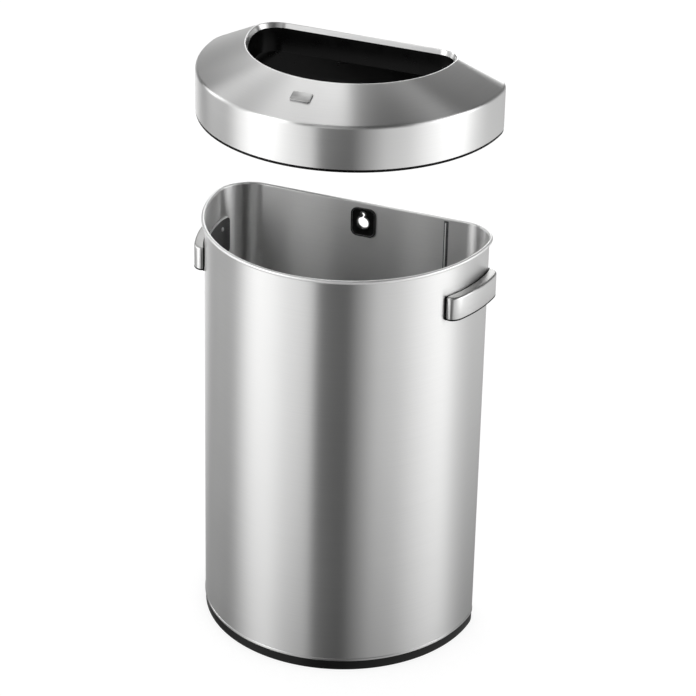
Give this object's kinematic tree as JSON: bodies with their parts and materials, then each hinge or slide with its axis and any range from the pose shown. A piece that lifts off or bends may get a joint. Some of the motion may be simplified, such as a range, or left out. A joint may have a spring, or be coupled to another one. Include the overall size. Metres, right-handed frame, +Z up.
{
  "type": "half-round waste bin with lift-off lid",
  "caption": "Half-round waste bin of brushed steel with side handles, a plastic base ring and a lift-off lid with a D-shaped mouth.",
  "frame": {"origin": "on the floor, under the middle of the bin's width and depth", "axes": "+Z up, +Y towards the flat back, +X to the right of someone who faces the bin"},
  "size_m": [0.5048, 0.325, 1.0135],
  "materials": {
    "brushed_steel": "brushed",
    "plate_steel": "satin",
    "black_plastic": "matte",
    "screw_steel": "satin"
  },
  "bodies": {
    "bin": {"body_shell": "brushed_steel", "base_ring": "black_plastic", "floor_pan": "brushed_steel", "floor_screw_1": "screw_steel", "floor_screw_2": "screw_steel", "floor_screw_3": "screw_steel", "floor_screw_4": "screw_steel", "floor_screw_5": "screw_steel", "floor_screw_6": "screw_steel", "wall_bracket": "black_plastic", "wall_bracket_retainer": "black_plastic", "handle_core_left": "black_plastic", "handle_core_right": "black_plastic", "handle_cover_left": "brushed_steel", "handle_cover_right": "brushed_steel", "handle_backing_left": "plate_steel", "handle_backing_right": "plate_steel", "handle_screw_left_front": "screw_steel", "handle_screw_left_rear": "screw_steel", "handle_screw_right_front": "screw_steel", "handle_screw_right_rear": "screw_steel"},
    "lid": {"lid_shell": "brushed_steel", "lid_frame": "black_plastic", "throat_liner": "black_plastic", "lid_badge": "brushed_steel", "lid_screw_front_left": "screw_steel", "lid_screw_front_right": "screw_steel", "lid_screw_side_left": "screw_steel", "lid_screw_side_right": "screw_steel", "lid_screw_back_left": "screw_steel", "lid_screw_back_right": "screw_steel"}
  },
  "joints": [
    {"name": "lid_lift", "type": "slide", "parent": "bin", "child": "lid", "axis": [0, 0, 1], "range_m": [-0.2077, 0]}
  ]
}
